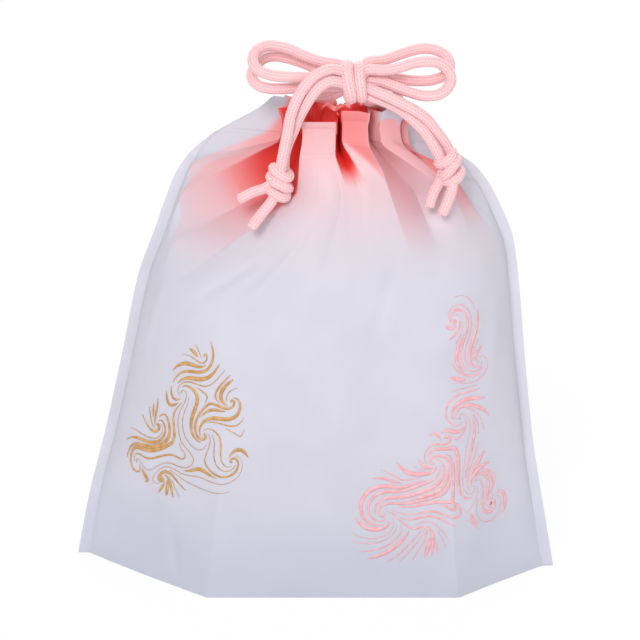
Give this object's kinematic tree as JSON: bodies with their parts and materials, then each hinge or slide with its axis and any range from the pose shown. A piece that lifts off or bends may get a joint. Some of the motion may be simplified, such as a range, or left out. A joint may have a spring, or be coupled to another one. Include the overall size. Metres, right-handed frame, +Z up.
{
  "type": "drawstring pouch",
  "caption": "Standing pouch of frosted film with a folded-out base, gathered at the mouth by braided drawstrings that are tied in a bow over the front.",
  "frame": {"origin": "middle of the base's outline, on the surface that the pouch stands on", "axes": "+X to the right and +Y away from the viewer as the picture shows the pouch, with the bow over the -Y side; +Z up"},
  "size_m": [0.2192, 0.103, 0.2488],
  "materials": {
    "film": "frosted translucent polyethylene film, tinted coral towards the mouth",
    "cord": "soft pale pink braided cord"
  },
  "bodies": {
    "pouch": {"front_panel": "film", "back_panel": "film", "base_gusset": "film", "left_side_weld": "film", "right_side_weld": "film", "front_hem": "film", "back_hem": "film", "left_drawstring": "cord", "right_drawstring": "cord", "bow_knot_core": "cord", "bow_knot_turn_left": "cord", "bow_knot_turn_right": "cord", "left_lead_front": "cord", "left_lead_rear": "cord", "right_lead_front": "cord", "right_lead_rear": "cord"},
    "left_loops": {"left_loop_front": "cord", "left_loop_rear": "cord"},
    "right_loops": {"right_loop_front": "cord", "right_loop_rear": "cord"},
    "left_tail": {"left_tail_outer": "cord", "left_tail_inner": "cord", "left_end_knot": "cord", "left_cord_end_upper": "cord", "left_cord_end_lower": "cord"},
    "right_tail": {"right_tail_outer": "cord", "right_tail_inner": "cord", "right_end_knot": "cord", "right_cord_end_left": "cord", "right_cord_end_right": "cord"}
  },
  "joints": [
    {"name": "left_loops_fold", "type": "hinge", "parent": "pouch", "child": "left_loops", "pos_m": [0.0093, -0.0166, 0.236], "axis": [0, 0.336, -0.9419], "range_deg": [0, 50]},
    {"name": "right_loops_fold", "type": "hinge", "parent": "pouch", "child": "right_loops", "pos_m": [0.0255, -0.0166, 0.236], "axis": [0, -0.336, 0.9419], "range_deg": [0, 50]},
    {"name": "left_tail_swing", "type": "hinge", "parent": "pouch", "child": "left_tail", "pos_m": [0.00975, -0.02975, 0.2368], "axis": [0.056, 0.2069, 0.9767], "range_deg": [0, 75]},
    {"name": "right_tail_swing", "type": "hinge", "parent": "pouch", "child": "right_tail", "pos_m": [0.0249, -0.028, 0.22765], "axis": [-0.038, -0.2289, -0.9727], "range_deg": [0, 75]}
  ]
}
